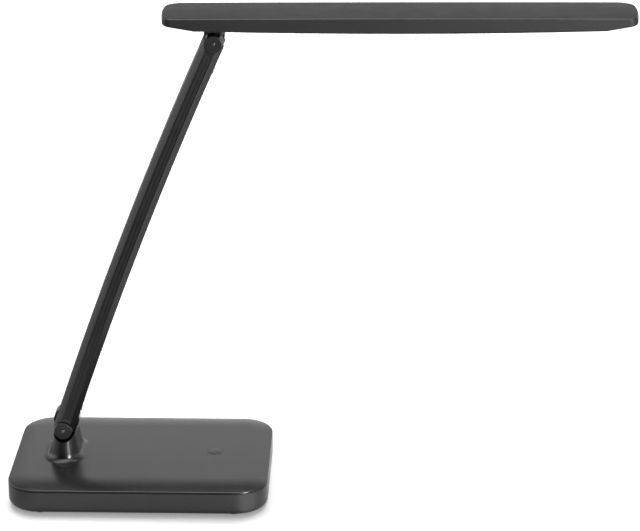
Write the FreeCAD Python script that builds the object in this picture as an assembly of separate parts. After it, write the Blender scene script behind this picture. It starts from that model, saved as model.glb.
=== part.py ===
import FreeCAD, Part
import math
import os

# LED desk lamp in millimetres. +Z is up, +X points to the free end of the head and +Y to the back.
# The origin is the middle of the base, on the desk.

overrun = 2.0                  # how far every cut runs past the material

# Base outline and heights
base_length = 200.8
base_depth = 139.0
base_corner = 25.0
foot_height = 1.7
tray_height = 17.7
tray_wall = 2.2
tray_floor = 2.4
tray_round = 4.5
seam_gap = 0.6
seam_inset = 0.9
lid_height = 3.5               # from the seam groove to the flat middle
lid_roll_width = 20.5          # width of the rolled border around the flat middle
lid_rise = 2.5                 # rise of the roll over that width
lid_edge = 1.2
lip_height = 2.5
lip_thickness = 1.4
lip_gap = 0.2

# Feet and screws of the base
foot_radius = 5.0
foot_recess = 1.0
foot_inset_x = 26.0
foot_inset_y = 11.0
base_screw_inset_x = 14.0
base_screw_inset_y = 17.0
base_screw_radius = 1.4
base_screw_head_radius = 3.0
base_screw_head = 1.6
base_screw_length = 9.0
base_screw_sunk = 0.8          # depth of the screw head below the tray's underside
boss_radius = 5.5
boss_height = 3.0
post_radius = 4.0
screw_gap = 0.1                # radial play of a screw in its hole

# Ballast plate
ballast_end_room = 11.8        # from the inlet's inner end, and the same at the far end
ballast_side_room = 16.8       # from the tray's long walls
ballast_thickness = 7.0
ballast_play = 0.3
ballast_rail = 1.6
ballast_rail_height = 3.0
lid_rib_inset = 18.0           # from each end of the ballast
lid_rib_thickness = 2.0
lid_rib_side = 8.0             # from each long side of the ballast

# Lower hinge place and pedestal
lower_pivot_inset = 39.9       # from the base's end
lower_pivot_z = 47.4
pedestal_lip_drop = 4.4        # lips of the saddle below the hinge axis
pedestal_lip_edge = 0.6        # flat width of each lip
pedestal_spread = 10.5         # end radius centres, to each side of the middle
pedestal_draft = 10.5          # degrees that the sides lean out
pedestal_blend = 6.0           # radius of the blend into the lid
pedestal_sink = 0.04
pedestal_wall = 2.2
lower_saddle_radius = 9.0

# Knuckle on the ballast plate
knuckle_foot_length = 30.0
knuckle_foot_depth = 44.0
knuckle_foot_thickness = 4.0
knuckle_screw_x = 10.0
knuckle_screw_y = 16.0
knuckle_screw_radius = 2.0
knuckle_screw_head_radius = 3.6
knuckle_screw_head = 2.6
knuckle_screw_grip = 4.0       # length of thread in the ballast plate
blade_width = 10.0
blade_play = 0.5               # gap around the blade in the lid's slot

# Hinges, the same at both ends of the arm
barrel_radius = 7.1
nut_boss_radius = 10.0         # round end of the lower fork's far cheek
nut_boss_play = 0.5
tongue_radius = 5.3
tongue_half = 5.0
friction_play = 0.1
friction_thickness = 0.6
friction_radius = 5.1
pin_radius = 2.5
pin_play = 0.05
pin_head_radius = 4.5
pin_head = 2.5
pin_end = 14.5
pocket_radius = 5.5
pocket_floor = 10.5
cap_seat = 14.6
cap_radius = 6.9
cap_gap = 0.6
cap_face = 18.0
cap_edge = 0.5
cap_recess_radius = 1.7
cap_recess = 1.1
cap_screw_radius = 1.0
cap_screw_head_radius = 1.5
cap_screw_edge = 0.4
cap_screw_head = 0.8
cap_screw_slot = 0.5
cap_screw_slot_depth = 0.35
cap_screw_end = 11.0
cap_screw_hole_end = 10.8
spring_radius = 4.4
spring_thickness = 0.8
nut_sides = 6
nut_flat = 8.0
nut_thickness = 3.0

# Arm
arm_reach = 122.0              # from pivot to pivot along the base
arm_rise = 311.5
arm_thickness = 16.2
arm_width = 33.0
arm_bevel = 4.5
bevel_crown = 0.2              # bulge of each bevel
arm_wall = 1.6
arm_bow = 4.0
tube_start = 10.5              # first end of the tube from each pivot
slot_floor = 9.0               # depth of the fork's slot from the pivot
plug_length = 26.0
plug_gap = 0.1
channel_width = 6.6
channel_depth = 0.9
trim_gap = 0.6
trim_sunk = 0.2
trim_groove = 1.0
trim_groove_depth = 0.5
fork_screw_place = 10.0        # from the tube's end
fork_screw_y = 8.0
fork_screw_radius = 1.5
fork_screw_head_radius = 2.6
fork_screw_head = 1.0
fork_screw_length = 7.0
fork_screw_flat = 0.3          # depth of the flat below the screw head

# Head, measured from the upper hinge axis
head_length = 349.7
head_tail = 38.4               # from the hinge axis to the near end
head_width = 49.5
head_front_corner = 6.5
head_back_corner = 14.0
head_end_radius = 140.0        # bulge of the ends, seen from above
head_top = 21.65
head_crown = 0.9               # rise of the top from its sides to its middle
head_arch = 0.3                # rise of the top from its ends to its middle
head_middle_depth = 11.9
head_bow = 1.9
head_end_depth = 5.7
head_ramp = 24.5
head_wall = 1.8
head_roof = 2.0
head_top_edge = 1.6
head_low_edge = 1.4
head_rest_tilt = 0.4           # degrees that the free end stands up
bezel_recess = 0.6
bezel_thickness = 1.6
bezel_gap = 0.1
window_start = 44.0            # from the hinge axis
window_far_inset = 26.9        # from the head's free end
window_width = 36.0
window_corner = 3.0
window_gap = 0.15
diffuser_flange = 2.5
diffuser_flange_thickness = 1.2
led_board_inset = 8.0          # from the ends of the window
led_board_margin = 3.0         # from the sides of the window
led_board_thickness = 1.0
led_size = 2.8
led_height = 0.7
led_rows = 2
led_row_pitch = 14.0
led_column_pitch = 10.0
led_end_margin = 5.0

# Head bracket
bracket_width = 13.5
bracket_over = 0.2             # past each side of the arm
bracket_corner = 1.2
bracket_drop = 5.0             # lower corners of the block above the hinge axis
upper_saddle_radius = 8.9
bracket_play = 0.4
bracket_flange_back = 17.5
bracket_flange_front = 30.0
bracket_flange_depth = 30.0
bracket_flange_thickness = 2.5
bracket_screw_back = 13.0
bracket_screw_front = 24.0
bracket_screw_y = 9.0
bracket_screw_radius = 1.4
bracket_screw_head_radius = 2.6
bracket_screw_head = 1.5
bracket_screw_grip = 1.2       # length of thread in the roof of the shell

# Button, board, switch and inlet
button_inset = 43.4            # from the base's end
button_radius = 5.8
button_gap = 0.2
button_proud = 0.05
button_dome = 0.28
button_flange = 1.1
button_flange_thickness = 0.8
button_pocket_gap = 0.7
button_pocket = 1.2
button_low = 0.1               # flange underside above the lid's underside
button_travel = 0.8
switch_gap = 0.3               # left between key and switch with the key pressed
switch_size = 6.0
switch_plunger_radius = 1.7
switch_plunger = 0.6
board_length = 40.0
board_depth = 30.0
board_thickness = 1.6
board_drop = 3.5               # board's upper side below the lid's underside
board_screw_x = 16.0
board_screw_y = 11.0
board_screw_radius = 0.85
board_screw_head_radius = 1.9
board_screw_head = 1.2
board_screw_grip = 2.6
board_post_radius = 2.4
inlet_inset = 35.0             # from the base's back
inlet_length = 13.0
inlet_width = 11.0
inlet_height = 10.4
inlet_collar_radius = 5.0
inlet_collar_gap = 0.2
inlet_socket_radius = 3.2
inlet_socket_depth = 9.5
inlet_pin_radius = 1.0
inlet_pin_sunk = 1.0

# Heights that follow from the sizes above
seam_z = foot_height + tray_height
lid_top_z = seam_z + seam_gap + lid_height
floor_z = foot_height + tray_floor
ballast_top_z = floor_z + ballast_thickness
knuckle_top_z = ballast_top_z + knuckle_foot_thickness
board_top_z = seam_z - board_drop
board_low_z = board_top_z - board_thickness
inlet_z = foot_height + tray_height / 2
inner_wall_x = tray_wall - base_length / 2
inlet_y = base_depth / 2 - inlet_inset
button_x = base_length / 2 - button_inset
ballast_length = base_length - 2 * (tray_wall + inlet_length + ballast_end_room)
ballast_depth = base_depth - 2 * (tray_wall + ballast_side_room)
lower_pivot_x = lower_pivot_inset - base_length / 2
upper_pivot_x = lower_pivot_x + arm_reach
upper_pivot_z = lower_pivot_z + arm_rise
pedestal_lip_z = lower_pivot_z - pedestal_lip_drop
saddle_half = math.sqrt(lower_saddle_radius ** 2 - pedestal_lip_drop ** 2)
pedestal_lip = saddle_half + pedestal_lip_edge
cheek_inner = tongue_half + friction_play + friction_thickness
cheek_outer = arm_width / 2

# Directions that follow from the hinge places
arm_length = math.hypot(arm_rise, arm_reach)
arm_lean = math.degrees(math.atan2(arm_reach, arm_rise))
arc_radius = ((arm_length / 2) ** 2 + arm_bow ** 2) / (2 * arm_bow)
section_x = -arm_bow
bevel_inset_share = 2 - math.sqrt(2)
arc_x = section_x + arc_radius
head_ceiling = head_top - head_roof
bracket_depth = arm_width + 2 * bracket_over
head_middle_x = head_length / 2 - head_tail
head_arch_radius = ((head_length / 2) ** 2 + head_arch ** 2) / (2 * head_arch)
window_end = head_length - head_tail - window_far_inset
led_board_start = window_start + led_board_inset
led_board_end = window_end - led_board_inset
led_board_width = window_width - 2 * led_board_margin
led_columns = int((led_board_end - led_board_start - 2 * led_end_margin) / led_column_pitch) + 1
up = FreeCAD.Vector(0, 0, 1)
across = FreeCAD.Vector(0, 1, 0)
along = FreeCAD.Vector(1, 0, 0)


def vec(x, y, z):
    return FreeCAD.Vector(x, y, z)


def block(x0, x1, y0, y1, z0, z1):
    return Part.makeBox(x1 - x0, y1 - y0, z1 - z0, vec(x0, y0, z0))


def rod_x(radius, y, z, x0, x1):
    return Part.makeCylinder(radius, x1 - x0, vec(x0, y, z), along)


def rod_y(radius, x, z, y0, y1):
    return Part.makeCylinder(radius, y1 - y0, vec(x, y0, z), across)


def rod_z(radius, x, y, z0, z1):
    return Part.makeCylinder(radius, z1 - z0, vec(x, y, z0), up)


def join(shapes):
    """One solid from solids that touch or overlap."""
    return shapes[0].fuse(shapes[1:]).removeSplitter()


def both_sides(shape):
    """The shape and its mirror image in the lamp's middle plane."""
    return [shape, shape.mirror(vec(0, 0, 0), across)]


def rounded_face(length, depth, radius, x_mid, y_mid, z):
    """Flat level face with round corners."""
    half_x = length / 2 - radius
    half_y = depth / 2 - radius
    signs = ((1, 1), (-1, 1), (-1, -1), (1, -1))
    edges = []
    ends = []
    for turn, (sx, sy) in enumerate(signs):
        middle = vec(x_mid + sx * half_x, y_mid + sy * half_y, z)
        points = []
        for share in (0, 0.5, 1):
            angle = (turn + share) * math.pi / 2
            points.append(middle + vec(math.cos(angle), math.sin(angle), 0) * radius)
        edges.append(Part.Arc(*points).toShape())
        ends.append((points[0], points[-1]))
    for turn in range(len(signs)):
        start = ends[turn][1]
        finish = ends[(turn + 1) % len(signs)][0]
        edges.append(Part.makeLine(start, finish))
    return Part.Face(Part.Wire(Part.__sortEdges__(edges)))


def rounded_slab(length, depth, radius, z0, z1, x_mid=0, y_mid=0):
    return rounded_face(length, depth, radius, x_mid, y_mid, z0).extrude(up * (z1 - z0))


def face_of(edges):
    return Part.Face(Part.Wire(Part.__sortEdges__(edges)))


def chain(points):
    """Straight edges through the points, closed."""
    return [Part.makeLine(points[i], points[(i + 1) % len(points)]) for i in range(len(points))]


def fillet_where(shape, radius, test):
    """Rounds the edges that pass the test."""
    return shape.makeFillet(radius, [edge for edge in shape.Edges if test(edge)])


# Base


def pillow():
    """Lid body: flat middle, four rolled sides and four rolled corners."""
    corner_x = base_length / 2 - base_corner
    corner_y = base_depth / 2 - base_corner
    roll_start = base_corner - lid_roll_width
    roll = (lid_roll_width ** 2 + lid_rise ** 2) / (2 * lid_rise)
    roll_z = lid_top_z - roll
    edge_reach = lid_roll_width - lid_edge
    edge_z = roll_z + math.sqrt((roll - lid_edge) ** 2 - edge_reach ** 2)
    lean = math.asin(edge_reach / (roll - lid_edge))
    square = math.pi / 2

    def at(out, z):
        return vec(corner_x + out, corner_y, z)

    def on_roll(angle):
        return at(roll_start + roll * math.sin(angle), roll_z + roll * math.cos(angle))

    def on_edge(angle):
        return at(base_corner - lid_edge + lid_edge * math.sin(angle), edge_z + lid_edge * math.cos(angle))

    low_inner = at(0, seam_z)
    low_outer = at(base_corner, seam_z)
    top_inner = at(0, lid_top_z)
    edges = [
        Part.makeLine(low_inner, low_outer),
        Part.makeLine(low_outer, on_edge(square)),
        Part.Arc(on_edge(square), on_edge((square + lean) / 2), on_roll(lean)).toShape(),
        Part.Arc(on_roll(lean), on_roll(lean / 2), on_roll(0)).toShape(),
        Part.makeLine(on_roll(0), top_inner),
        Part.makeLine(top_inner, low_inner),
    ]
    profile = face_of(edges)
    corner = profile.revolve(vec(corner_x, corner_y, 0), up, 90)
    side = profile.extrude(across * (-2 * corner_y))
    turned = profile.copy()
    turned.rotate(vec(corner_x, corner_y, 0), up, 90)
    front = turned.extrude(along * (-2 * corner_x))
    pieces = [block(-corner_x, corner_x, -corner_y, corner_y, seam_z, lid_top_z)]
    pieces += both_sides(corner)
    pieces += [piece.mirror(vec(0, 0, 0), along) for piece in both_sides(corner)]
    pieces += [side, side.mirror(vec(0, 0, 0), along)]
    pieces += both_sides(front)
    return join(pieces)


def pedestal():
    """Bell with round ends and leaning sides, blended into the lid."""
    foot_z = lid_top_z - pedestal_sink
    draft = math.radians(pedestal_draft)
    blend_z = foot_z + pedestal_blend * (1 - math.sin(draft))
    blend_out = pedestal_lip + (pedestal_lip_z - blend_z) * math.tan(draft)
    middle = vec(blend_out + pedestal_blend * math.cos(draft), 0, foot_z + pedestal_blend)
    half_turn = (math.pi / 2 + draft) / 2
    blend_mid = middle - vec(math.cos(half_turn), 0, math.sin(half_turn)) * pedestal_blend
    lip = vec(pedestal_lip, 0, pedestal_lip_z)
    blend_start = vec(blend_out, 0, blend_z)
    foot = vec(middle.x, 0, foot_z)
    low_out = vec(middle.x, 0, seam_z)
    low_mid = vec(0, 0, seam_z)
    top_mid = vec(0, 0, pedestal_lip_z)
    half = face_of([
        Part.makeLine(lip, blend_start),
        Part.Arc(blend_start, blend_mid, foot).toShape(),
        Part.makeLine(foot, low_out),
        Part.makeLine(low_out, low_mid),
        Part.makeLine(low_mid, top_mid),
        Part.makeLine(top_mid, lip),
    ])
    run = half.copy()
    run.translate(across * -pedestal_spread)
    run = run.extrude(across * (2 * pedestal_spread))
    end = half.copy()
    end.translate(across * pedestal_spread)
    end = end.revolve(vec(0, pedestal_spread, 0), up, 180)
    pieces = [run, run.mirror(vec(0, 0, 0), along)]
    pieces += both_sides(end)
    bell = join(pieces)
    bell.translate(along * lower_pivot_x)
    return bell


def screw_places(inset_x, inset_y):
    x = base_length / 2 - inset_x
    y = base_depth / 2 - inset_y
    return [(sx * x, sy * y) for sx in (1, -1) for sy in (1, -1)]


def board_places():
    return [(button_x + sx * board_screw_x, sy * board_screw_y) for sx in (1, -1) for sy in (1, -1)]


def base_lid():
    lid = join([pillow(), pedestal()])
    groove = rounded_slab(base_length + overrun, base_depth + overrun, base_corner,
                          seam_z - overrun, seam_z + seam_gap)
    core = rounded_slab(base_length - 2 * seam_inset, base_depth - 2 * seam_inset,
                        base_corner - seam_inset, seam_z - overrun, seam_z + seam_gap)
    lid = lid.cut(groove.cut(core))
    lip_length = base_length - 2 * (tray_wall + lip_gap)
    lip_depth = base_depth - 2 * (tray_wall + lip_gap)
    lip_corner = base_corner - tray_wall - lip_gap
    lip = rounded_slab(lip_length, lip_depth, lip_corner, seam_z - lip_height, seam_z)
    hollow = rounded_slab(lip_length - 2 * lip_thickness, lip_depth - 2 * lip_thickness,
                          lip_corner - lip_thickness, seam_z - lip_height - overrun, seam_z)
    added = [lip.cut(hollow)]
    post_low = floor_z + boss_height
    for x, y in screw_places(base_screw_inset_x, base_screw_inset_y):
        added.append(rod_z(post_radius, x, y, post_low, seam_z))
    for side in (1, -1):
        y0 = side * (ballast_depth / 2 - lid_rib_side) - lid_rib_thickness / 2
        rib_x = ballast_length / 2 - lid_rib_inset
        added.append(block(-rib_x, rib_x, y0, y0 + lid_rib_thickness, ballast_top_z, seam_z))
    for x, y in board_places():
        added.append(rod_z(board_post_radius, x, y, board_top_z, seam_z))
    lid = join([lid] + added)
    boss_saddle = nut_boss_radius + nut_boss_play
    cuts = [rod_y(lower_saddle_radius, lower_pivot_x, lower_pivot_z, -base_depth / 2, base_depth / 2),
            rod_y(boss_saddle, lower_pivot_x, lower_pivot_z, cheek_inner - nut_boss_play, base_depth / 2)]
    inside = pedestal_lip - pedestal_wall
    roof_z = lower_pivot_z - max(lower_saddle_radius, boss_saddle) - pedestal_wall
    cuts.append(block(lower_pivot_x - inside, lower_pivot_x + inside, -pedestal_spread, pedestal_spread,
                      seam_z - overrun, roof_z))
    cuts += both_sides(rod_z(inside, lower_pivot_x, pedestal_spread, seam_z - overrun, roof_z))
    slot_x = blade_width / 2 + blade_play
    slot_y = tongue_half + blade_play
    cuts.append(block(lower_pivot_x - slot_x, lower_pivot_x + slot_x, -slot_y, slot_y,
                      seam_z - overrun, lower_pivot_z))
    cuts.append(rod_z(button_radius + button_gap, button_x, 0, seam_z - overrun, lid_top_z + overrun))
    pocket = button_radius + button_flange + button_pocket_gap
    cuts.append(rod_z(pocket, button_x, 0, seam_z - overrun, seam_z + button_pocket))
    for x, y in screw_places(base_screw_inset_x, base_screw_inset_y):
        cuts.append(rod_z(base_screw_radius + screw_gap, x, y, post_low - overrun,
                          foot_height + base_screw_sunk + base_screw_head + base_screw_length + screw_gap))
    for x, y in board_places():
        cuts.append(rod_z(board_screw_radius + screw_gap, x, y, board_top_z - overrun,
                          board_top_z + board_screw_grip + screw_gap))
    return lid.cut(cuts)


def base_tray():
    body = rounded_slab(base_length, base_depth, base_corner, foot_height, seam_z)
    body = fillet_where(body, tray_round, lambda e: e.BoundBox.ZMax < foot_height + tray_round)
    hollow = rounded_slab(base_length - 2 * tray_wall, base_depth - 2 * tray_wall,
                          base_corner - tray_wall, floor_z, seam_z + overrun)
    body = body.cut(hollow)
    rail_x = ballast_length / 2 + ballast_play
    rail_y = ballast_depth / 2 + ballast_play
    rail = block(-rail_x - ballast_rail, rail_x + ballast_rail, -rail_y - ballast_rail,
                 rail_y + ballast_rail, floor_z, floor_z + ballast_rail_height)
    rail = rail.cut(block(-rail_x, rail_x, -rail_y, rail_y, floor_z, floor_z + ballast_rail_height))
    cradle = block(inner_wall_x, inner_wall_x + inlet_length, inlet_y - inlet_width / 2,
                   inlet_y + inlet_width / 2, floor_z, inlet_z - inlet_height / 2)
    added = [rail, cradle]
    cuts = []
    head_top_z = foot_height + base_screw_sunk + base_screw_head
    for x, y in screw_places(base_screw_inset_x, base_screw_inset_y):
        added.append(rod_z(boss_radius, x, y, floor_z, floor_z + boss_height))
        cuts.append(rod_z(base_screw_radius + screw_gap, x, y, foot_height, seam_z))
        cuts.append(rod_z(base_screw_head_radius + screw_gap, x, y, foot_height - overrun, head_top_z))
    for x, y in screw_places(foot_inset_x, foot_inset_y):
        cuts.append(rod_z(foot_radius, x, y, foot_height - overrun, foot_height + foot_recess))
    cuts.append(rod_x(inlet_collar_radius + inlet_collar_gap, inlet_y, inlet_z,
                      -base_length / 2 - overrun, inner_wall_x))
    return join([body] + added).cut(cuts)


def rubber_feet():
    return [rod_z(foot_radius, x, y, 0, foot_height + foot_recess)
            for x, y in screw_places(foot_inset_x, foot_inset_y)]


def screw_up(x, y, seat_z, head_radius, head, radius, length):
    """Screw with its head below the seat and its shank going up."""
    return join([rod_z(head_radius, x, y, seat_z - head, seat_z),
                 rod_z(radius, x, y, seat_z, seat_z + length)])


def base_screws():
    seat = foot_height + base_screw_sunk + base_screw_head
    return [screw_up(x, y, seat, base_screw_head_radius, base_screw_head, base_screw_radius,
                     base_screw_length) for x, y in screw_places(base_screw_inset_x, base_screw_inset_y)]


def knuckle_places():
    return [(lower_pivot_x + sx * knuckle_screw_x, sy * knuckle_screw_y) for sx in (1, -1) for sy in (1, -1)]


def ballast_plate():
    plate = block(-ballast_length / 2, ballast_length / 2, -ballast_depth / 2, ballast_depth / 2,
                  floor_z, ballast_top_z)
    return plate.cut([rod_z(knuckle_screw_radius + screw_gap, x, y,
                            ballast_top_z - knuckle_screw_grip - screw_gap, ballast_top_z + overrun)
                      for x, y in knuckle_places()])


def tongue(x, z, low, high):
    """Upright hinge tongue around the pivot at x, z, with its flat run from low to high."""
    flat = block(x - blade_width / 2, x + blade_width / 2, -tongue_half, tongue_half, low, high)
    return [flat, rod_y(tongue_radius, x, z, -tongue_half, tongue_half)]


def pin_bore(x, z):
    return rod_y(pin_radius + pin_play, x, z, -tongue_half - overrun, tongue_half + overrun)


def base_knuckle():
    foot = block(lower_pivot_x - knuckle_foot_length / 2, lower_pivot_x + knuckle_foot_length / 2,
                 -knuckle_foot_depth / 2, knuckle_foot_depth / 2, ballast_top_z, knuckle_top_z)
    body = join([foot] + tongue(lower_pivot_x, lower_pivot_z, knuckle_top_z, lower_pivot_z))
    holes = [rod_z(knuckle_screw_radius + screw_gap, x, y, ballast_top_z - overrun, knuckle_top_z + overrun)
             for x, y in knuckle_places()]
    return body.cut(holes + [pin_bore(lower_pivot_x, lower_pivot_z)])


def knuckle_screws():
    return [join([rod_z(knuckle_screw_head_radius, x, y, knuckle_top_z, knuckle_top_z + knuckle_screw_head),
                  rod_z(knuckle_screw_radius, x, y, ballast_top_z - knuckle_screw_grip, knuckle_top_z)])
            for x, y in knuckle_places()]


def control_board():
    board = block(button_x - board_length / 2, button_x + board_length / 2, -board_depth / 2, board_depth / 2,
                  board_low_z, board_top_z)
    holes = [rod_z(board_screw_radius + screw_gap, x, y, board_low_z - overrun, board_top_z + overrun)
             for x, y in board_places()]
    return board.cut(holes)


def board_screws():
    return [screw_up(x, y, board_low_z, board_screw_head_radius, board_screw_head, board_screw_radius,
                     board_thickness + board_screw_grip) for x, y in board_places()]


def push_switch():
    top = seam_z + button_low - button_travel - switch_gap
    body_top = top - switch_plunger
    half = switch_size / 2
    return join([block(button_x - half, button_x + half, -half, half, board_top_z, body_top),
                 rod_z(switch_plunger_radius, button_x, 0, body_top, top)])


def power_button():
    low = seam_z + button_low
    flange_top = low + button_flange_thickness
    rim_z = lid_top_z + button_proud
    dome = (button_radius ** 2 + button_dome ** 2) / (2 * button_dome)
    half_angle = math.asin(button_radius / dome) / 2
    flange_out = button_radius + button_flange

    def at(out, z):
        return vec(button_x + out, 0, z)

    rim = at(button_radius, rim_z)
    crown_mid = at(dome * math.sin(half_angle), rim_z + button_dome - dome * (1 - math.cos(half_angle)))
    crown = at(0, rim_z + button_dome)
    edges = [
        Part.makeLine(at(0, low), at(flange_out, low)),
        Part.makeLine(at(flange_out, low), at(flange_out, flange_top)),
        Part.makeLine(at(flange_out, flange_top), at(button_radius, flange_top)),
        Part.makeLine(at(button_radius, flange_top), rim),
        Part.Arc(rim, crown_mid, crown).toShape(),
        Part.makeLine(crown, at(0, low)),
    ]
    return face_of(edges).revolve(vec(button_x, 0, 0), up, 360)


def power_inlet():
    body = block(inner_wall_x, inner_wall_x + inlet_length, inlet_y - inlet_width / 2,
                 inlet_y + inlet_width / 2, inlet_z - inlet_height / 2, inlet_z + inlet_height / 2)
    outer_x = -base_length / 2
    body = join([body, rod_x(inlet_collar_radius, inlet_y, inlet_z, outer_x, inner_wall_x)])
    floor_x = outer_x + inlet_socket_depth
    body = body.cut(rod_x(inlet_socket_radius, inlet_y, inlet_z, outer_x - overrun, floor_x))
    return join([body, rod_x(inlet_pin_radius, inlet_y, inlet_z, outer_x + inlet_pin_sunk, floor_x)])


# Arm, upright on its own lower pivot until it is leaned over at the end


def arc_angle(z):
    return math.degrees(math.asin((z - arm_length / 2) / arc_radius))


def arc_bar(section, z0, z1):
    """The section, drawn at mid-length, swept along the bow from z0 to z1."""
    centre = vec(arc_x, 0, arm_length / 2)
    start = section.copy()
    start.rotate(centre, across, arc_angle(z0))
    return start.revolve(centre, across, arc_angle(z1) - arc_angle(z0))


def arm_section(inset):
    """Flat sides and narrow faces with crowned bevels between them."""
    half_x = arm_thickness / 2 - inset
    half_y = arm_width / 2 - inset
    flat_x = half_x - arm_bevel + inset * bevel_inset_share
    flat_y = half_y - arm_bevel + inset * bevel_inset_share
    middle = vec(section_x, 0, arm_length / 2)
    edges = []
    for side in (1, -1):
        face = vec(0, side * half_y, 0)
        edges.append(Part.makeLine(middle + face - along * flat_x, middle + face + along * flat_x))
        face = vec(side * half_x, 0, 0)
        edges.append(Part.makeLine(middle + face - across * flat_y, middle + face + across * flat_y))
        for turn in (1, -1):
            start = middle + vec(side * half_x, turn * flat_y, 0)
            finish = middle + vec(side * flat_x, turn * half_y, 0)
            crown = (start + finish) * 0.5 + vec(side, turn, 0).normalize() * bevel_crown
            edges.append(Part.Arc(start, crown, finish).toShape())
    return face_of(edges)


def side_section(width, y0, y1):
    """Rectangle on the narrow side of the arm."""
    z = arm_length / 2
    x0 = section_x - width / 2
    x1 = section_x + width / 2
    return face_of(chain([vec(x0, y0, z), vec(x1, y0, z), vec(x1, y1, z), vec(x0, y1, z)]))


def fork_screw_centres():
    low = tube_start + fork_screw_place
    return [(z, side * fork_screw_y) for z in (low, arm_length - low) for side in (1, -1)]


def on_bow(shape, z):
    """Carries a piece made at mid-length along the bow to the height z."""
    moved = shape.copy()
    moved.rotate(vec(arc_x, 0, arm_length / 2), across, arc_angle(z))
    return moved


def fork_screw_rod(radius, y, depth0, depth1):
    """Rod square to the arm's underside, between two depths below its face."""
    face_x = section_x + arm_thickness / 2
    return rod_x(radius, y, arm_length / 2, face_x - depth1, face_x - depth0)


def arm_tube():
    z0 = tube_start
    z1 = arm_length - tube_start
    tube = arc_bar(arm_section(0), z0, z1)
    cuts = [arc_bar(arm_section(arm_wall), z0 - overrun, z1 + overrun)]
    channel = side_section(channel_width, arm_width / 2 - channel_depth, arm_width / 2 + overrun)
    cuts += both_sides(arc_bar(channel, z0 - overrun, z1 + overrun))
    for z, y in fork_screw_centres():
        seat = fork_screw_rod(fork_screw_head_radius + screw_gap, y, -overrun, fork_screw_flat)
        hole = fork_screw_rod(fork_screw_radius + screw_gap, y, -overrun, arm_wall + overrun)
        cuts += [on_bow(seat, z), on_bow(hole, z)]
    return tube.cut(cuts)


def arm_trims():
    top = arm_width / 2 - trim_sunk
    z0 = tube_start
    z1 = arm_length - tube_start
    strip = arc_bar(side_section(channel_width - 2 * trim_gap, arm_width / 2 - channel_depth, top), z0, z1)
    groove = side_section(trim_groove, top - trim_groove_depth, top + overrun)
    return both_sides(strip.cut(arc_bar(groove, z0 - overrun, z1 + overrun)))


def fork(round_ends):
    """Fork and plug of the arm's lower end, with the round ends of its cheeks."""
    plug_end = tube_start + plug_length
    body = join([arc_bar(arm_section(0), 0, tube_start),
                 arc_bar(arm_section(arm_wall + plug_gap), tube_start, plug_end)] + round_ends)
    cuts = [block(-arm_thickness, arm_thickness, -cheek_inner, cheek_inner, -arm_thickness, slot_floor)]
    cuts.append(rod_y(pin_radius + pin_play, 0, 0, -cheek_outer - overrun, cheek_outer + overrun))
    for side in both_sides(rod_y(pocket_radius, 0, 0, pocket_floor, cheek_outer + overrun)):
        cuts.append(side)
    for side in both_sides(rod_y(cap_radius + cap_gap, 0, 0, cap_seat, cheek_outer + overrun)):
        cuts.append(side)
    for z, y in fork_screw_centres():
        if z < arm_length / 2:
            cuts.append(on_bow(fork_screw_rod(fork_screw_radius + screw_gap, y, 0,
                                              fork_screw_flat + fork_screw_length + screw_gap), z))
    return body.cut(cuts)


def fork_barrel():
    return rod_y(barrel_radius, 0, 0, -cheek_outer, cheek_outer)


def lower_fork():
    return fork([fork_barrel(), rod_y(nut_boss_radius, 0, 0, cheek_inner, cheek_outer)])


def upper_fork():
    return fork([fork_barrel()]).mirror(vec(0, 0, arm_length / 2), up)


def fork_screws():
    made = []
    for z, y in fork_screw_centres():
        head = fork_screw_rod(fork_screw_head_radius, y, fork_screw_flat - fork_screw_head, fork_screw_flat)
        shank = fork_screw_rod(fork_screw_radius, y, fork_screw_flat, fork_screw_flat + fork_screw_length)
        made.append(on_bow(join([head, shank]), z))
    return made


def both_hinges(shapes):
    """The pieces of the lower hinge and their copies at the upper hinge."""
    made = []
    for rise in (0, arm_length):
        for shape in shapes:
            copy = shape.copy()
            copy.translate(up * rise)
            made.append(copy)
    return made


def ring_y(outer, inner, y0, y1):
    return rod_y(outer, 0, 0, y0, y1).cut(rod_y(inner, 0, 0, y0 - overrun, y1 + overrun))


def hinge_pins():
    pin = join([rod_y(pin_radius, 0, 0, -pocket_floor, pin_end),
                rod_y(pin_head_radius, 0, 0, -pocket_floor - pin_head, -pocket_floor)])
    hole = cap_screw_radius + screw_gap
    pin = pin.cut([rod_y(hole, 0, 0, cap_screw_hole_end, pin_end + overrun),
                   rod_y(hole, 0, 0, -pocket_floor - pin_head - overrun, -pocket_floor)])
    return both_hinges([pin])


def spring_washers():
    y1 = pocket_floor + spring_thickness
    return both_hinges([ring_y(spring_radius, pin_radius + pin_play, pocket_floor, y1)])


def hinge_nuts():
    y0 = pocket_floor + spring_thickness
    corner = nut_flat / 2 / math.cos(math.pi / nut_sides)
    points = []
    for turn in range(nut_sides):
        angle = turn * 2 * math.pi / nut_sides
        points.append(vec(corner * math.cos(angle), y0, corner * math.sin(angle)))
    nut = face_of(chain(points)).extrude(across * nut_thickness)
    bore = rod_y(pin_radius + pin_play, 0, 0, y0 - overrun, y0 + nut_thickness + overrun)
    return both_hinges([nut.cut(bore)])


def friction_washers():
    y0 = tongue_half + friction_play
    washer = ring_y(friction_radius, pin_radius + pin_play, y0, y0 + friction_thickness)
    return both_hinges(both_sides(washer))


def hinge_caps():
    cap = rod_y(cap_radius, 0, 0, cap_seat, cap_face)
    cap = fillet_where(cap, cap_edge, lambda e: e.BoundBox.YMin > cap_face - cap_edge)
    recess_y = cap_face - cap_recess
    cap = cap.cut([rod_y(cap_recess_radius, 0, 0, recess_y, cap_face + overrun),
                   rod_y(cap_screw_radius + screw_gap, 0, 0, cap_seat - overrun, cap_face)])
    return both_hinges(both_sides(cap))


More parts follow.
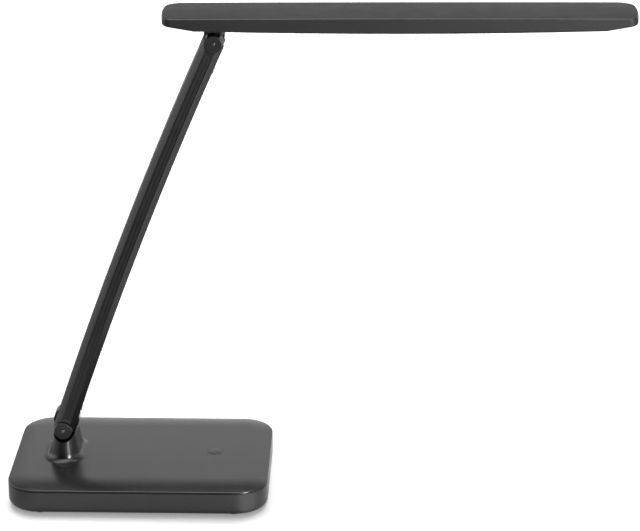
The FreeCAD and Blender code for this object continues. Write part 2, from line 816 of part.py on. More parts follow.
def cap_screws():
    seat = cap_face - cap_recess
    head = seat + cap_screw_head
    screw = join([rod_y(cap_screw_head_radius, 0, 0, seat, head),
                  rod_y(cap_screw_radius, 0, 0, cap_screw_end, seat)])
    screw = fillet_where(screw, cap_screw_edge, lambda e: e.BoundBox.YMin > head - cap_screw_edge)
    half = cap_screw_slot / 2
    slot = block(-cap_screw_head_radius, cap_screw_head_radius, head - cap_screw_slot_depth, head + overrun,
                 -half, half)
    return both_hinges(both_sides(screw.cut(slot)))


# Head, level on its own hinge axis until it is tilted at the end


def head_low_points(lift):
    """Ends, ramp feet and middle of the head's underside, raised by lift."""
    left = -head_tail
    right = head_length - head_tail
    end_z = head_top - head_end_depth + lift
    ramp_z = head_top - head_middle_depth + head_bow + lift
    return [
        vec(left, 0, end_z),
        vec(left + head_ramp, 0, ramp_z),
        vec(head_middle_x, 0, head_top - head_middle_depth + lift),
        vec(right - head_ramp, 0, ramp_z),
        vec(right, 0, end_z),
    ]


def head_low_edges(lift):
    left, ramp_left, middle, ramp_right, right = head_low_points(lift)
    return [
        Part.makeLine(left, ramp_left),
        Part.Arc(ramp_left, middle, ramp_right).toShape(),
        Part.makeLine(ramp_right, right),
    ]


def head_band(low_lift, high_lift, width):
    """Layer that follows the underside, between two lifts above it."""
    low = head_low_points(low_lift)
    high = head_low_points(high_lift)
    edges = head_low_edges(low_lift) + head_low_edges(high_lift)
    edges += [Part.makeLine(low[0], high[0]), Part.makeLine(low[-1], high[-1])]
    face = face_of(edges)
    face.translate(across * (-width / 2))
    return face.extrude(across * width)


def head_plan(inset, z0, z1):
    """Straight sides, round corners and slightly bulging ends, drawn in by inset."""
    half = head_width / 2 - inset
    bulge = head_end_radius - inset
    reach = head_length / 2 - inset

    def at(sx, sy, share):
        """Point of a corner, from the end at share 0 to the long side at share 1."""
        radius = (head_back_corner if sy > 0 else head_front_corner) - inset
        middle_y = half - radius
        run = math.sqrt((bulge - radius) ** 2 - middle_y ** 2)
        lean = math.atan2(middle_y, run)
        angle = lean + share * (math.pi / 2 - lean)
        x = reach - bulge + run + radius * math.cos(angle)
        y = middle_y + radius * math.sin(angle)
        return vec(head_middle_x + sx * x, sy * y, z0)

    edges = []
    for side in (1, -1):
        edges.append(Part.makeLine(at(1, side, 1), at(-1, side, 1)))
        tip = vec(head_middle_x + side * reach, 0, z0)
        edges.append(Part.Arc(at(side, 1, 0), tip, at(side, -1, 0)).toShape())
        for end in (1, -1):
            edges.append(Part.Arc(*[at(end, side, share) for share in (0, 0.5, 1)]).toShape())
    return face_of(edges).extrude(up * (z1 - z0))


def head_solid():
    """Outer form: side view, plan and crowned top in one."""
    top_z = head_top + head_crown + overrun
    low = head_low_points(0)
    top_left = vec(low[0].x, 0, top_z)
    top_right = vec(low[-1].x, 0, top_z)
    edges = head_low_edges(0) + [
        Part.makeLine(low[0], top_left),
        Part.makeLine(top_left, top_right),
        Part.makeLine(top_right, low[-1]),
    ]
    wide = head_width / 2 + overrun
    side_view = face_of(edges)
    side_view.translate(across * -wide)
    side_view = side_view.extrude(across * (2 * wide))
    half = head_width / 2
    roll = (half ** 2 + head_crown ** 2) / (2 * head_crown)
    wide_z = head_top + head_crown - roll + math.sqrt(roll ** 2 - wide ** 2)

    def at(y, z):
        return vec(head_middle_x, y, z)

    section = face_of([
        Part.Arc(at(-wide, wide_z), at(0, head_top + head_crown), at(wide, wide_z)).toShape(),
        Part.makeLine(at(wide, wide_z), at(wide, 0)),
        Part.makeLine(at(wide, 0), at(-wide, 0)),
        Part.makeLine(at(-wide, 0), at(-wide, wide_z)),
    ])
    centre = at(0, head_top - head_arch_radius)
    half_angle = math.degrees((head_length / 2 + overrun) / (head_arch_radius - head_top))
    section.rotate(centre, across, -half_angle)
    crown = section.revolve(centre, across, 2 * half_angle)
    return side_view.common(head_plan(0, 0, top_z)).common(crown).Solids[0]


def head_shell():
    body = head_solid()
    top_edge_z = head_top - head_top_edge
    body = fillet_where(body, head_top_edge, lambda e: e.BoundBox.ZMin > top_edge_z)
    low_edge_z = head_top - head_end_depth + head_low_edge
    outline = head_width - head_front_corner
    body = fillet_where(body, head_low_edge,
                        lambda e: e.BoundBox.ZMax < low_edge_z and e.BoundBox.YLength < outline)
    hollow = head_plan(head_wall, 0, head_ceiling)
    holes = [rod_z(bracket_screw_radius + screw_gap, x, y, head_ceiling - overrun,
                   head_ceiling + bracket_screw_grip + screw_gap) for x, y in bracket_places()]
    return body.cut([hollow] + holes)


def window_slab(grow, z0, z1):
    return rounded_slab(window_end - window_start + 2 * grow, window_width + 2 * grow, window_corner + grow,
                        z0, z1, (window_start + window_end) / 2)


def head_bezel():
    plate = head_band(bezel_recess, bezel_recess + bezel_thickness, head_width)
    plate = plate.common(head_plan(head_wall + bezel_gap, 0, head_ceiling))
    hole_x = bracket_width / 2 + bracket_play
    hole_y = bracket_depth / 2 + bracket_play
    return plate.cut([window_slab(0, 0, head_top), block(-hole_x, hole_x, -hole_y, hole_y, 0, head_top)])


def diffuser():
    low = bezel_recess
    seat = bezel_recess + bezel_thickness
    pane = head_band(low, seat, head_width).common(window_slab(-window_gap, 0, head_top))
    rim = head_band(seat, seat + diffuser_flange_thickness, head_width)
    return join([pane, rim.common(window_slab(diffuser_flange, 0, head_top))])


def led_board():
    return block(led_board_start, led_board_end, -led_board_width / 2, led_board_width / 2,
                 head_ceiling - led_board_thickness, head_ceiling)


def led_chips():
    top = head_ceiling - led_board_thickness
    middle = (led_board_start + led_board_end) / 2
    half = led_size / 2
    made = []
    for column in range(led_columns):
        x = middle + (column - (led_columns - 1) / 2) * led_column_pitch
        for row in range(led_rows):
            y = (row - (led_rows - 1) / 2) * led_row_pitch
            made.append(block(x - half, x + half, y - half, y + half, top - led_height, top))
    return made


def bracket_places():
    return [(x, side * bracket_screw_y)
            for x in (-bracket_screw_back, bracket_screw_front) for side in (1, -1)]


def head_bracket():
    flange_low = head_ceiling - bracket_flange_thickness
    flange = block(-bracket_flange_back, bracket_flange_front, -bracket_flange_depth / 2,
                   bracket_flange_depth / 2, flange_low, head_ceiling)
    body = rounded_slab(bracket_width, bracket_depth, bracket_corner, bracket_drop, flange_low)
    saddle = rod_y(upper_saddle_radius, 0, 0, tongue_half, bracket_depth)
    body = body.cut(both_sides(saddle))
    body = join([flange, body] + tongue(0, 0, 0, flange_low))
    holes = [rod_z(bracket_screw_radius + screw_gap, x, y, flange_low - overrun, head_ceiling + overrun)
             for x, y in bracket_places()]
    return body.cut(holes + [pin_bore(0, 0)])


def bracket_screws():
    seat = head_ceiling - bracket_flange_thickness
    return [screw_up(x, y, seat, bracket_screw_head_radius, bracket_screw_head, bracket_screw_radius,
                     bracket_flange_thickness + bracket_screw_grip) for x, y in bracket_places()]


def as_list(made):
    return made if isinstance(made, list) else [made]


def on_arm(made):
    """Leans the upright arm over and sets it on the lower pivot."""
    placed = []
    for shape in as_list(made):
        copy = shape.copy()
        copy.rotate(vec(0, 0, 0), across, arm_lean)
        copy.translate(vec(lower_pivot_x, 0, lower_pivot_z))
        placed.append(copy)
    return placed


def on_head(made):
    """Tilts the level head and sets it on the upper pivot."""
    placed = []
    for shape in as_list(made):
        copy = shape.copy()
        copy.rotate(vec(0, 0, 0), across, -head_rest_tilt)
        copy.translate(vec(upper_pivot_x, 0, upper_pivot_z))
        placed.append(copy)
    return placed


nodes = {
    "base_lid": base_lid(),
    "base_tray": base_tray(),
    "rubber_feet": rubber_feet(),
    "base_screws": base_screws(),
    "ballast_plate": ballast_plate(),
    "base_knuckle": base_knuckle(),
    "knuckle_screws": knuckle_screws(),
    "control_board": control_board(),
    "board_screws": board_screws(),
    "push_switch": push_switch(),
    "power_inlet": power_inlet(),
    "power_button": power_button(),
    "arm_tube": on_arm(arm_tube()),
    "arm_trims": on_arm(arm_trims()),
    "lower_fork": on_arm(lower_fork()),
    "upper_fork": on_arm(upper_fork()),
    "fork_screws": on_arm(fork_screws()),
    "hinge_pins": on_arm(hinge_pins()),
    "hinge_nuts": on_arm(hinge_nuts()),
    "spring_washers": on_arm(spring_washers()),
    "friction_washers": on_arm(friction_washers()),
    "hinge_caps": on_arm(hinge_caps()),
    "cap_screws": on_arm(cap_screws()),
    "head_shell": on_head(head_shell()),
    "head_bezel": on_head(head_bezel()),
    "diffuser": on_head(diffuser()),
    "led_board": on_head(led_board()),
    "led_chips": on_head(led_chips()),
    "head_bracket": on_head(head_bracket()),
    "bracket_screws": on_head(bracket_screws()),
}

os.makedirs("parts", exist_ok=True)
for name, made in nodes.items():
    solids = [solid for shape in as_list(made) for solid in shape.Solids]
    whole = solids[0] if len(solids) == 1 else Part.makeCompound(solids)
    whole.exportStep(os.path.join("parts", name + ".step"))
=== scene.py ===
"""Looks of the LED desk lamp: finishes for every CAD node, a white studio and the photograph's camera."""
import bpy
import math
from mathutils import Euler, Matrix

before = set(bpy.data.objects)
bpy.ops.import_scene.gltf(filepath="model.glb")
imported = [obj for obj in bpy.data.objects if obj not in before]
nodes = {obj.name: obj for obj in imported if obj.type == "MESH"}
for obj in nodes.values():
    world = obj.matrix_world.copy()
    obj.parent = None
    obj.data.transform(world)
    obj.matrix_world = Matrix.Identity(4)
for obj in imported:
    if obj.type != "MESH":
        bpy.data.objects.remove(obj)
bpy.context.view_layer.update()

# Camera of the photograph: place and far limit in metres, turn in degrees, lens and sensor in millimetres
CAMERA_PLACE = (0.1790, -1.7195, 0.8223)
CAMERA_TURN = (69.54, 0.0, 1.317)
CAMERA_LENS = 135.0
CAMERA_SENSOR = 36.0
CAMERA_FAR = 200.0

# Room around the lamp. Reaches are spans of the direction's x, y or z, which is the sine of its height.
BACKDROP_LEVEL = 1.24           # brightness behind the lamp
FRONT_LEVEL = 0.06              # brightness on the camera's side
FRONT_REACH = (-0.75, 0.0)      # from the camera's side to the backdrop, along y
CEILING_LEVEL = 0.14            # brightness of the ceiling as a share of the backdrop's
CEILING_REACH = (0.46, 0.72)    # from the backdrop to the ceiling, along z
ZENITH_LEVEL = 3.4              # brightness that a top light adds, as mirrors show it
ZENITH_REACH = (0.72, 0.97)     # where that light comes in, along z
WALL_LEVEL = 1.7                # brightness that a light wall on the left adds, as mirrors show it
WALL_REACH = (-0.60, -0.97)     # where that wall comes in, along x
LEFT_DIM = 0.56                 # share of the backdrop's brightness that is left on the left
LEFT_REACH = (-0.36, -0.17)     # from the dimmer left to the full backdrop, along x
ROOM_LIGHT = 0.40               # light that the room throws on matt surfaces

# Floor, in metres
FLOOR_HALF = 30.0
FLOOR_COLOUR = (0.86, 0.86, 0.86)
FLOOR_GLOW = (0.28, 0.60)       # light that the floor adds where it is seen, near the lamp and far from it
GLOW_REACH = (0.30, 1.10)       # distances from the lamp between which that light grows

# Painted reflections: the floor as mirrors show it, dimmer than it is on the left, on the right and on the
# camera's side, and brighter right of the base. Shares of its brightness, and where along x or y they change
PAINTED_DIM_FRONT = (-0.34, -0.14)    # where it ends on the camera's side, along y
PAINTED_DIM_LEFT = 0.45
PAINTED_DIM_LEFT_NEAR = (-0.115, -0.090)
PAINTED_DIM_LEFT_FAR = (-0.50, -1.30)  # where it is bright again
PAINTED_DIM_RIGHT = 0.5
PAINTED_DIM_RIGHT_NEAR = (0.09, 0.18)
PAINTED_REFLECTION_LEVEL = 1.45              # painted reflection: brightness that the floor adds right of the base, in mirrors only
PAINTED_REFLECTION_LEFT = (0.081, 0.087)     # left edge of that painted reflection, along x
PAINTED_REFLECTION_BACK = (-0.076, -0.062)   # back edge of that painted reflection, along y

# Colours, linear
CHARCOAL = (0.015, 0.015, 0.016)
HEAD_CHARCOAL = (0.019, 0.019, 0.020)
CHARCOAL_DARK = (0.012, 0.012, 0.013)
BLACK = (0.009, 0.009, 0.010)
ZINC = (0.62, 0.62, 0.63)
BLACK_ZINC = (0.20, 0.20, 0.21)
NYLON = (0.70, 0.68, 0.62)
OPAL = (0.86, 0.86, 0.84)
PHOSPHOR = (0.85, 0.68, 0.22)
GREEN_MASK = (0.02, 0.13, 0.05)
GREEN_TRACK = (0.30, 0.20, 0.06)
WHITE_MASK = (0.80, 0.80, 0.78)
WHITE_TRACK = (0.70, 0.68, 0.60)

# Patterns of the finishes: scales per metre, depths of relief and edges in metres
POLYMER_IOR = 1.5
SOFT_EDGE = 0.0002              # radius by which shading rounds edges off
FINE_EDGE = 0.0001
EDGE_SAMPLES = 6
MOULD_CLOUDS = 34.0
MOULD_HAZE = 61.0
MOULD_RANGE = (0.92, 1.08)      # faintest and strongest colour and roughness, as shares of the mean
MOULD_GRAIN = 2600.0
MOULD_DEPTH = 0.000002
COAT_CLOUDS = 48.0
COAT_HAZE = 90.0
COAT_RANGE = (0.93, 1.07)
COAT_PEEL = 420.0
COAT_PEEL_DEPTH = 0.000006
COAT_GRAIN = 1500.0
COAT_DEPTH = 0.000003
ZINC_STREAKS = 900.0
ZINC_STRETCH = (1.0, 0.15, 1.0)
ZINC_DARKEST = 0.85
ZINC_RANGE = (0.8, 1.2)
ZINC_DEPTH = 0.000005
RUBBER_BLOOM = 160.0
RUBBER_PALEST = 1.7
RUBBER_ROUGHNESS = (0.72, 0.88)
RUBBER_GRAIN = 1800.0
RUBBER_DEPTH = 0.000015
OPAL_DOTS = 900.0
OPAL_DOT_REACH = 0.8            # distance from a dot's middle at which it is darkest, in cells
OPAL_DARKEST = 0.94
OPAL_HAZE = 70.0
OPAL_ROUGHNESS = (0.30, 0.40)
OPAL_DEPTH = 0.000012
OPAL_SCATTER = 0.35
OPAL_SCATTER_REACH = 0.004
BOARD_TRACKS = 260.0
BOARD_TRACK_WIDTH = 0.06
BOARD_DARKEST = 0.85
BOARD_HAZE = 200.0
BOARD_ROUGHNESS = (0.28, 0.38)
BOARD_DEPTH = 0.00002

# Shine of the head: more on its upper edge than on the walls, less on top
SLOPE_WALL = (0.25, 0.50)       # heights of the surface normal between which a wall turns into the edge
SLOPE_TOP = (0.80, 0.96)        # and the edge into the top
EDGE_ROUGHNESS = 0.20
EDGE_SPECULAR = 0.5
TOP_SPECULAR = 0.10

# Studio lights are turned to this point
LIGHT_TARGET = (0.0, 0.0, 0.12)

SPAN_SOCKETS = ("From Min", "From Max", "To Min", "To Max")


def smooth(tree, value, start_end, low_high):
    """Value carried smoothly from one span to another."""
    node = tree.nodes.new("ShaderNodeMapRange")
    node.interpolation_type = "SMOOTHSTEP"
    for key, number in zip(SPAN_SOCKETS, start_end + low_high):
        node.inputs[key].default_value = number
    tree.links.new(value, node.inputs["Value"])
    return node.outputs["Result"]


def combined(tree, operation, *values):
    """Values joined one after the other by an operation of two."""
    result = values[0]
    for value in values[1:]:
        node = tree.nodes.new("ShaderNodeMath")
        node.operation = operation
        tree.links.new(result, node.inputs[0])
        tree.links.new(value, node.inputs[1])
        result = node.outputs["Value"]
    return result


def product(tree, *values):
    return combined(tree, "MULTIPLY", *values)


def total(tree, *values):
    return combined(tree, "ADD", *values)


def shade(colour, factor):
    return tuple(channel * factor for channel in colour)


class Finish:
    """A material under construction: its node tree, shader and surface coordinates."""

    def __init__(self, name):
        self.material = bpy.data.materials.new(name)
        self.material.use_nodes = True
        self.tree = self.material.node_tree
        self.tree.nodes.clear()
        self.shader = self.add("ShaderNodeBsdfPrincipled")
        output = self.add("ShaderNodeOutputMaterial")
        self.link(self.shader.outputs["BSDF"], output.inputs["Surface"])
        self.place = self.add("ShaderNodeTexCoord").outputs["Object"]

    def add(self, kind, **settings):
        node = self.tree.nodes.new(kind)
        for key, value in settings.items():
            setattr(node, key, value)
        return node

    def link(self, source, target):
        self.tree.links.new(source, target)

    def feed(self, source, socket):
        """Joins a pattern to one of the shader's sockets."""
        self.link(source, self.shader.inputs[socket])

    def set(self, **values):
        """Constant values on the shader's own sockets, by socket name with _ for a space."""
        for key, value in values.items():
            self.shader.inputs[key.replace("_", " ")].default_value = value

    def stretched(self, scale):
        """Surface coordinates stretched along the axes."""
        mapping = self.add("ShaderNodeMapping")
        mapping.inputs["Scale"].default_value = scale
        self.link(self.place, mapping.inputs["Vector"])
        return mapping.outputs["Vector"]

    def noise(self, scale, detail=3.0, rough=0.55, place=None):
        node = self.add("ShaderNodeTexNoise")
        node.inputs["Scale"].default_value = scale
        node.inputs["Detail"].default_value = detail
        node.inputs["Roughness"].default_value = rough
        self.link(place or self.place, node.inputs["Vector"])
        return node.outputs["Fac"]

    def spread(self, value, low, high, start=0.3, end=0.7):
        """Maps a pattern from start..end to low..high."""
        node = self.add("ShaderNodeMapRange")
        for key, number in zip(SPAN_SOCKETS, (start, end, low, high)):
            node.inputs[key].default_value = number
        self.link(value, node.inputs["Value"])
        return node.outputs["Result"]

    def around(self, value, mean, shares):
        """Maps a pattern to a number that varies between two shares of its mean."""
        return self.spread(value, mean * shares[0], mean * shares[1])

    def between(self, value, first, second):
        """Colour between two, by a pattern from 0 to 1."""
        node = self.add("ShaderNodeMix", data_type="RGBA")
        node.inputs["A"].default_value = (*first, 1.0)
        node.inputs["B"].default_value = (*second, 1.0)
        self.link(value, node.inputs["Factor"])
        return node.outputs["Result"]

    def clouded(self, scale, colour, shares):
        """Colour with faint clouds between two shares of it."""
        clouds = self.spread(self.noise(scale, detail=4.0), 0.0, 1.0)
        return self.between(clouds, shade(colour, shares[0]), shade(colour, shares[1]))

    def bump(self, height, depth, below=None):
        """Surface relief of that depth in metres, laid over another."""
        node = self.add("ShaderNodeBump")
        node.inputs["Strength"].default_value = 1.0
        node.inputs["Distance"].default_value = depth
        self.link(height, node.inputs["Height"])
        if below:
            self.link(below, node.inputs["Normal"])
        return node.outputs["Normal"]

    def soft_edge(self, radius):
        """Normals that round the edges off a little, as moulds and coats do."""
        node = self.add("ShaderNodeBevel", samples=EDGE_SAMPLES)
        node.inputs["Radius"].default_value = radius
        return node.outputs["Normal"]

    def by_slope(self, wall, edge, top):
        """Number that differs between walls, the edges above them and the top."""
        normal = self.add("ShaderNodeSeparateXYZ")
        self.link(self.add("ShaderNodeTexCoord").outputs["Normal"], normal.inputs["Vector"])
        return total(self.tree, smooth(self.tree, normal.outputs["Z"], SLOPE_WALL, (wall, edge)),
                     smooth(self.tree, normal.outputs["Z"], SLOPE_TOP, (0.0, top - edge)))


def moulded(name, colour, roughness, specular=0.5, shiny_edge=False):
    """Satin moulding: fine spark texture, with faint clouds in colour and gloss."""
    finish = Finish(name)
    finish.feed(finish.clouded(MOULD_CLOUDS, colour, MOULD_RANGE), "Base Color")
    haze = finish.around(finish.noise(MOULD_HAZE, detail=5.0, rough=0.6), roughness, MOULD_RANGE)
    if shiny_edge:
        haze = product(finish.tree, haze, finish.by_slope(1.0, EDGE_ROUGHNESS / roughness, 1.0))
        finish.feed(finish.by_slope(specular, EDGE_SPECULAR, TOP_SPECULAR), "Specular IOR Level")
    finish.feed(haze, "Roughness")
    grain = finish.noise(MOULD_GRAIN, detail=2.0, rough=0.5)
    finish.feed(finish.bump(grain, MOULD_DEPTH, finish.soft_edge(SOFT_EDGE)), "Normal")
    finish.set(IOR=POLYMER_IOR, Specular_IOR_Level=specular)
    return finish.material


def coated(name, colour, roughness, specular=0.5):
    """Powder coat on metal: low orange peel under a fine grain."""
    finish = Finish(name)
    finish.feed(finish.clouded(COAT_CLOUDS, colour, COAT_RANGE), "Base Color")
    finish.feed(finish.around(finish.noise(COAT_HAZE, detail=4.0), roughness, COAT_RANGE), "Roughness")
    peel = finish.bump(finish.noise(COAT_PEEL, detail=2.0), COAT_PEEL_DEPTH, finish.soft_edge(SOFT_EDGE))
    finish.feed(finish.bump(finish.noise(COAT_GRAIN, detail=2.0), COAT_DEPTH, peel), "Normal")
    finish.set(IOR=POLYMER_IOR, Specular_IOR_Level=specular)
    return finish.material


def zinc(name, colour, roughness):
    """Zinc on steel, faintly streaked by the tool."""
    finish = Finish(name)
    streaks = finish.noise(ZINC_STREAKS, rough=0.6, place=finish.stretched(ZINC_STRETCH))
    tint = finish.between(finish.spread(streaks, 0.0, 1.0), shade(colour, ZINC_DARKEST), colour)
    finish.feed(tint, "Base Color")
    finish.feed(finish.around(streaks, roughness, ZINC_RANGE), "Roughness")
    finish.feed(finish.bump(streaks, ZINC_DEPTH, finish.soft_edge(FINE_EDGE)), "Normal")
    finish.set(Metallic=1.0)
    return finish.material


def rubber(name, colour):
    """Matt rubber with a dusty bloom."""
    finish = Finish(name)
    bloom = finish.spread(finish.noise(RUBBER_BLOOM, detail=5.0, rough=0.65), 0.0, 1.0)
    finish.feed(finish.between(bloom, colour, shade(colour, RUBBER_PALEST)), "Base Color")
    finish.feed(finish.spread(bloom, *RUBBER_ROUGHNESS, start=0.0, end=1.0), "Roughness")
    finish.feed(finish.bump(finish.noise(RUBBER_GRAIN), RUBBER_DEPTH), "Normal")
    return finish.material


def milky(name, colour):
    """Opal light guide with a fine prismatic dot texture."""
    finish = Finish(name)
    cells = finish.add("ShaderNodeTexVoronoi")
    cells.inputs["Scale"].default_value = OPAL_DOTS
    finish.link(finish.place, cells.inputs["Vector"])
    dots = cells.outputs["Distance"]
    tint = finish.spread(dots, 0.0, 1.0, start=0.0, end=OPAL_DOT_REACH)
    finish.feed(finish.between(tint, colour, shade(colour, OPAL_DARKEST)), "Base Color")
    finish.feed(finish.spread(finish.noise(OPAL_HAZE), *OPAL_ROUGHNESS), "Roughness")
    finish.feed(finish.bump(dots, OPAL_DEPTH, finish.soft_edge(SOFT_EDGE)), "Normal")
    finish.set(Subsurface_Weight=OPAL_SCATTER, Subsurface_Scale=OPAL_SCATTER_REACH)
    return finish.material


def solder_mask(name, colour, track):
    """Lacquered board with tracks showing through."""
    finish = Finish(name)
    tracks = finish.add("ShaderNodeTexBrick", offset=0.5, squash=1.0)
    tracks.inputs["Scale"].default_value = BOARD_TRACKS
    tracks.inputs["Mortar Size"].default_value = BOARD_TRACK_WIDTH
    tracks.inputs["Color1"].default_value = (*colour, 1.0)
    tracks.inputs["Color2"].default_value = (*shade(colour, BOARD_DARKEST), 1.0)
    tracks.inputs["Mortar"].default_value = (*track, 1.0)
    finish.link(finish.place, tracks.inputs["Vector"])
    finish.feed(tracks.outputs["Color"], "Base Color")
    finish.feed(finish.spread(finish.noise(BOARD_HAZE), *BOARD_ROUGHNESS), "Roughness")
    finish.feed(finish.bump(tracks.outputs["Fac"], BOARD_DEPTH), "Normal")
    return finish.material


def dress():
    """Gives every CAD node its finish."""
    steel = zinc("bright_zinc", ZINC, roughness=0.32)
    finishes = {
        moulded("lid_satin", CHARCOAL, roughness=0.24): ["base_lid"],
        moulded("button_satin", CHARCOAL, roughness=0.28): ["power_button"],
        moulded("tray_satin", CHARCOAL, roughness=0.38, specular=0.44): ["base_tray"],
        moulded("head_satin", HEAD_CHARCOAL, roughness=0.50, specular=0.30, shiny_edge=True): ["head_shell"],
        moulded("bezel_matt", CHARCOAL_DARK, roughness=0.48, specular=0.38): ["head_bezel"],
        moulded("cap_satin", CHARCOAL_DARK, roughness=0.34): ["hinge_caps"],
        moulded("trim_matt", CHARCOAL, roughness=0.46, specular=0.34): ["arm_trims"],
        moulded("switch_black", BLACK, roughness=0.40): ["push_switch", "power_inlet"],
        moulded("washer_natural", NYLON, roughness=0.45): ["friction_washers"],
        coated("arm_coat", CHARCOAL, roughness=0.36, specular=0.44): ["arm_tube"],
        coated("fork_coat", CHARCOAL_DARK, roughness=0.36): ["lower_fork", "upper_fork"],
        # Near-black, less shiny coat: partly the bracket's own dark coat, partly painted shade from the head
        # above it
        coated("bracket_coat", BLACK, roughness=0.48, specular=0.2): ["head_bracket"],
        coated("knuckle_coat", BLACK, roughness=0.45): ["base_knuckle"],
        steel: ["ballast_plate", "hinge_pins", "hinge_nuts", "spring_washers", "base_screws",
                "knuckle_screws", "board_screws", "fork_screws", "bracket_screws"],
        zinc("black_zinc", BLACK_ZINC, roughness=0.24): ["cap_screws"],
        rubber("foot_rubber", BLACK): ["rubber_feet"],
        milky("opal", OPAL): ["diffuser"],
        solder_mask("board_green", GREEN_MASK, GREEN_TRACK): ["control_board"],
        solder_mask("board_white", WHITE_MASK, WHITE_TRACK): ["led_board"],
        moulded("phosphor", PHOSPHOR, roughness=0.35): ["led_chips"],
    }
    for material, names in finishes.items():
        for name in names:
            nodes[name].data.materials.clear()
            nodes[name].data.materials.append(material)


def seen_directly(tree):
    """1 for rays that show the background itself: camera, mirror and see-through rays."""
    path = tree.nodes.new("ShaderNodeLightPath")
    kinds = ("Is Camera Ray", "Is Glossy Ray", "Is Transmission Ray")
    return combined(tree, "MAXIMUM", *[path.outputs[kind] for kind in kinds])


def room():
    """White backdrop under a darker ceiling, with a top light, a light left wall and a dark camera's side."""
    world = bpy.data.worlds.new("room")
    bpy.context.scene.world = world
    world.use_nodes = True
    tree = world.node_tree
    tree.nodes.clear()
    link = tree.links.new
    direction = tree.nodes.new("ShaderNodeSeparateXYZ")
    link(tree.nodes.new("ShaderNodeTexCoord").outputs["Generated"], direction.inputs["Vector"])
    x, y, z = (direction.outputs[axis] for axis in "XYZ")
    surround = product(tree, smooth(tree, y, FRONT_REACH, (FRONT_LEVEL, BACKDROP_LEVEL)),
                       smooth(tree, z, CEILING_REACH, (1.0, CEILING_LEVEL)),
                       smooth(tree, x, LEFT_REACH, (LEFT_DIM, 1.0)))
    zenith = smooth(tree, z, ZENITH_REACH, (0.0, ZENITH_LEVEL))
    wall = smooth(tree, x, WALL_REACH, (0.0, WALL_LEVEL))
    shown = tree.nodes.new("ShaderNodeBackground")
    link(total(tree, surround, zenith, wall), shown.inputs["Strength"])
    light = tree.nodes.new("ShaderNodeBackground")
    light.inputs["Strength"].default_value = ROOM_LIGHT
    mix = tree.nodes.new("ShaderNodeMixShader")
    link(seen_directly(tree), mix.inputs["Fac"])
    link(light.outputs["Background"], mix.inputs[1])
    link(shown.outputs["Background"], mix.inputs[2])
    output = tree.nodes.new("ShaderNodeOutputWorld")
    link(mix.outputs["Shader"], output.inputs["Surface"])


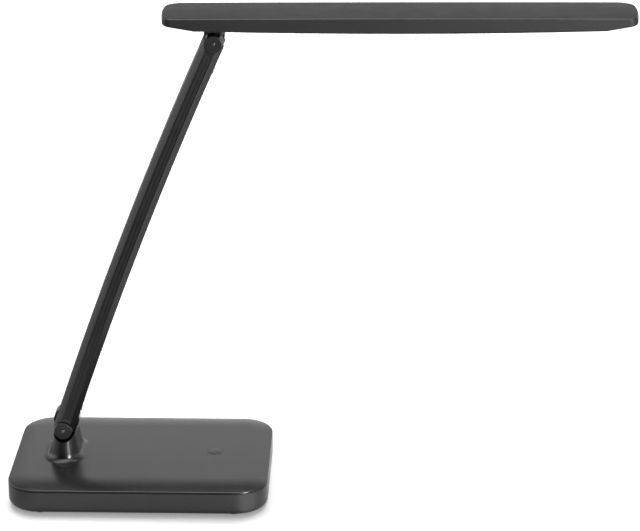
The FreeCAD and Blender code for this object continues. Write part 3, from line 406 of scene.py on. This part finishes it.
def floor_finish():
    """Matt white with a glow and painted reflections: dimmer in parts and brighter right of the base in
    mirrors only; unseen from below.
    """
    material = bpy.data.materials.new("floor_white")
    material.use_nodes = True
    tree = material.node_tree
    tree.nodes.clear()
    link = tree.links.new
    place = tree.nodes.new("ShaderNodeTexCoord").outputs["Object"]
    away = tree.nodes.new("ShaderNodeVectorMath")
    away.operation = "LENGTH"
    link(place, away.inputs[0])
    split = tree.nodes.new("ShaderNodeSeparateXYZ")
    link(place, split.inputs["Vector"])
    x, y = split.outputs["X"], split.outputs["Y"]
    mirror_ray = tree.nodes.new("ShaderNodeLightPath").outputs["Is Glossy Ray"]

    # Share of the floor's brightness: all of it, or for mirrors the dimmer share, a painted reflection
    left = total(tree, smooth(tree, x, PAINTED_DIM_LEFT_NEAR, (PAINTED_DIM_LEFT, 1.0)),
                 smooth(tree, x, PAINTED_DIM_LEFT_FAR, (0.0, 1.0 - PAINTED_DIM_LEFT)))
    right = smooth(tree, x, PAINTED_DIM_RIGHT_NEAR, (1.0, PAINTED_DIM_RIGHT))
    front = smooth(tree, y, PAINTED_DIM_FRONT, (FRONT_LEVEL, 1.0))
    share = tree.nodes.new("ShaderNodeMix")
    share.inputs["A"].default_value = 1.0
    link(mirror_ray, share.inputs["Factor"])
    link(product(tree, left, right, front), share.inputs["B"])

    matt = tree.nodes.new("ShaderNodeBsdfDiffuse")
    tint = tree.nodes.new("ShaderNodeMix")
    tint.data_type = "RGBA"
    tint.inputs["A"].default_value = (0.0, 0.0, 0.0, 1.0)
    tint.inputs["B"].default_value = (*FLOOR_COLOUR, 1.0)
    link(share.outputs["Result"], tint.inputs["Factor"])
    link(tint.outputs["Result"], matt.inputs["Color"])

    glow = tree.nodes.new("ShaderNodeEmission")
    seen = product(tree, seen_directly(tree), share.outputs["Result"],
                   smooth(tree, away.outputs["Value"], GLOW_REACH, FLOOR_GLOW))
    # Painted reflection: a glow right of the base that only mirrors show, lighting the base's right corner
    # and side
    painted_reflection = product(tree, smooth(tree, x, PAINTED_REFLECTION_LEFT, (0.0, PAINTED_REFLECTION_LEVEL)),
                    smooth(tree, y, PAINTED_REFLECTION_BACK, (1.0, 0.0)), mirror_ray)
    link(total(tree, seen, painted_reflection), glow.inputs["Strength"])

    both = tree.nodes.new("ShaderNodeAddShader")
    link(matt.outputs["BSDF"], both.inputs[0])
    link(glow.outputs["Emission"], both.inputs[1])
    from_below = tree.nodes.new("ShaderNodeMixShader")
    link(tree.nodes.new("ShaderNodeNewGeometry").outputs["Backfacing"], from_below.inputs["Fac"])
    link(both.outputs["Shader"], from_below.inputs[1])
    link(tree.nodes.new("ShaderNodeBsdfTransparent").outputs["BSDF"], from_below.inputs[2])
    output = tree.nodes.new("ShaderNodeOutputMaterial")
    link(from_below.outputs["Shader"], output.inputs["Surface"])
    return material


def floor():
    """Wide pale floor that keeps the lamp's shadow and runs out into white."""
    mesh = bpy.data.meshes.new("floor")
    half = FLOOR_HALF
    corners = [(-half, -half, 0), (half, -half, 0), (half, half, 0), (-half, half, 0)]
    mesh.from_pydata(corners, [], [(0, 1, 2, 3)])
    plane = bpy.data.objects.new("floor", mesh)
    bpy.context.scene.collection.objects.link(plane)
    mesh.materials.append(floor_finish())


def softbox(name, place, width, height, power, gloss):
    """Rectangular studio light, turned to the target: for highlights with gloss, else for matt light."""
    data = bpy.data.lights.new(name, "AREA")
    data.shape = "RECTANGLE"
    data.size = width
    data.size_y = height
    data.energy = power
    lamp = bpy.data.objects.new(name, data)
    lamp.location = place
    aim = [t - p for t, p in zip(LIGHT_TARGET, place)]
    pan = math.atan2(aim[1], aim[0]) - math.pi / 2
    tilt = math.atan2(aim[2], math.hypot(aim[0], aim[1]))
    lamp.rotation_euler = (math.pi / 2 + tilt, 0, pan)
    lamp.visible_diffuse = not gloss
    lamp.visible_glossy = gloss
    bpy.context.scene.collection.objects.link(lamp)


def lights():
    """Two strips for highlights and a wide key above and behind the lamp."""
    softbox("strip_right", place=(1.03, -1.32, 0.60), width=0.40, height=1.20, power=46.0, gloss=True)
    softbox("strip_above", place=(0.05, -0.90, 1.70), width=1.80, height=0.30, power=7.0, gloss=True)
    softbox("key", place=(0.05, 0.62, 1.75), width=1.80, height=1.30, power=52.0, gloss=False)


def camera():
    """Camera of the photograph."""
    data = bpy.data.cameras.new("camera")
    data.lens = CAMERA_LENS
    data.sensor_width = CAMERA_SENSOR
    data.sensor_fit = "HORIZONTAL"
    data.clip_end = CAMERA_FAR
    eye = bpy.data.objects.new("camera", data)
    eye.location = CAMERA_PLACE
    eye.rotation_euler = Euler([math.radians(angle) for angle in CAMERA_TURN])
    bpy.context.scene.collection.objects.link(eye)
    bpy.context.scene.camera = eye


dress()
room()
floor()
lights()
camera()
bpy.context.scene.view_settings.view_transform = "Standard"
